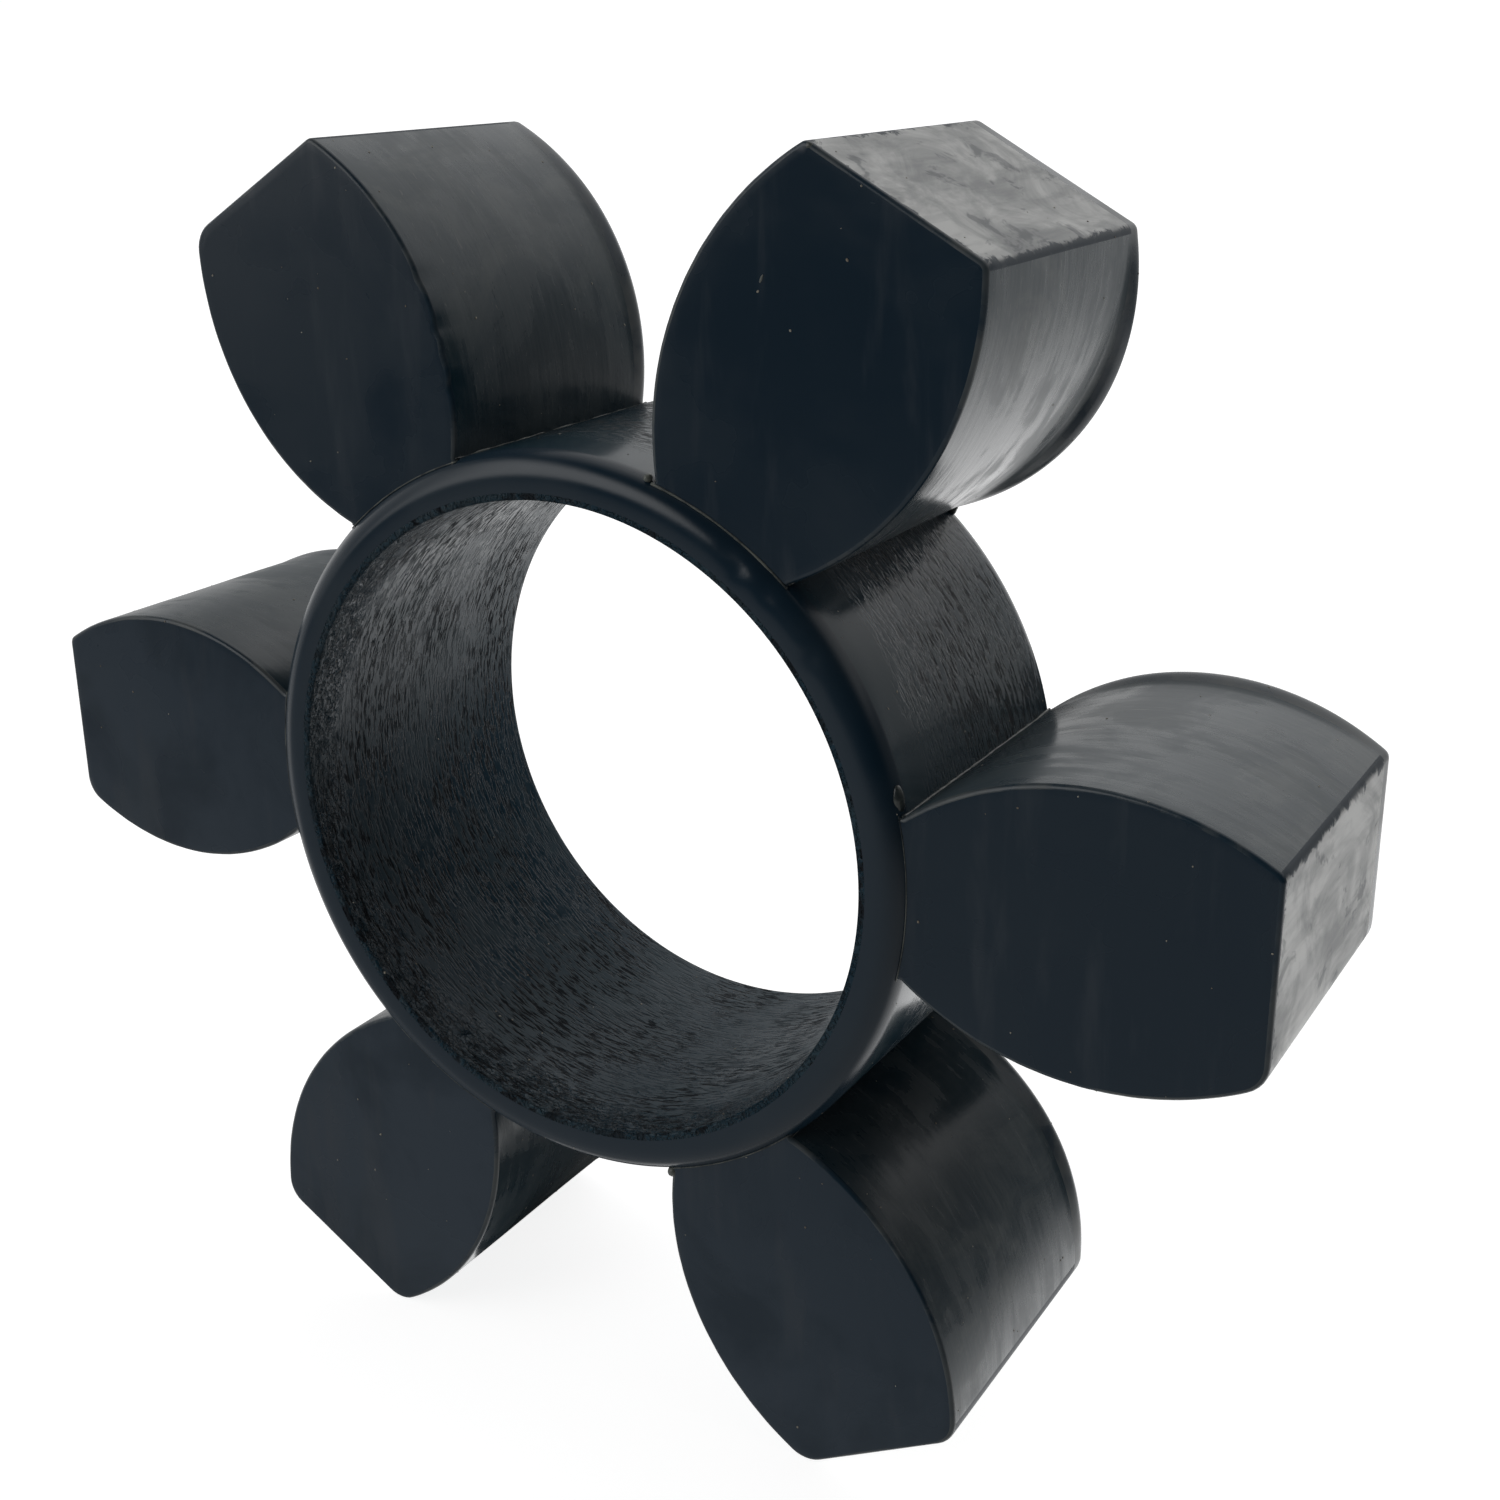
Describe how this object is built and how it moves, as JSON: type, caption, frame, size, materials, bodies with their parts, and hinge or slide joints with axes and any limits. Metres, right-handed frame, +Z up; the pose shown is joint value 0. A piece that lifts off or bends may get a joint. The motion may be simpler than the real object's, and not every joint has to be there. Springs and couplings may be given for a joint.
{
  "type": "rubber coupling insert",
  "caption": "Black moulded rubber ring with barrel-sided lobes around it, the flexible element between the jaws of two shaft coupling hubs.",
  "frame": {"origin": "centre of the ring, half way along its bore", "axes": "+Z up as the insert stands on its two lower lobes, Y along the bore with the front rim towards -Y, +X to the right seen from the front, along a lobe"},
  "size_m": [0.146, 0.038, 0.1356],
  "materials": {
    "moulded_rubber": "semi-gloss black nitrile rubber, as moulded"
  },
  "bodies": {
    "root": {"coupling_insert": "moulded_rubber"}
  },
  "joints": []
}
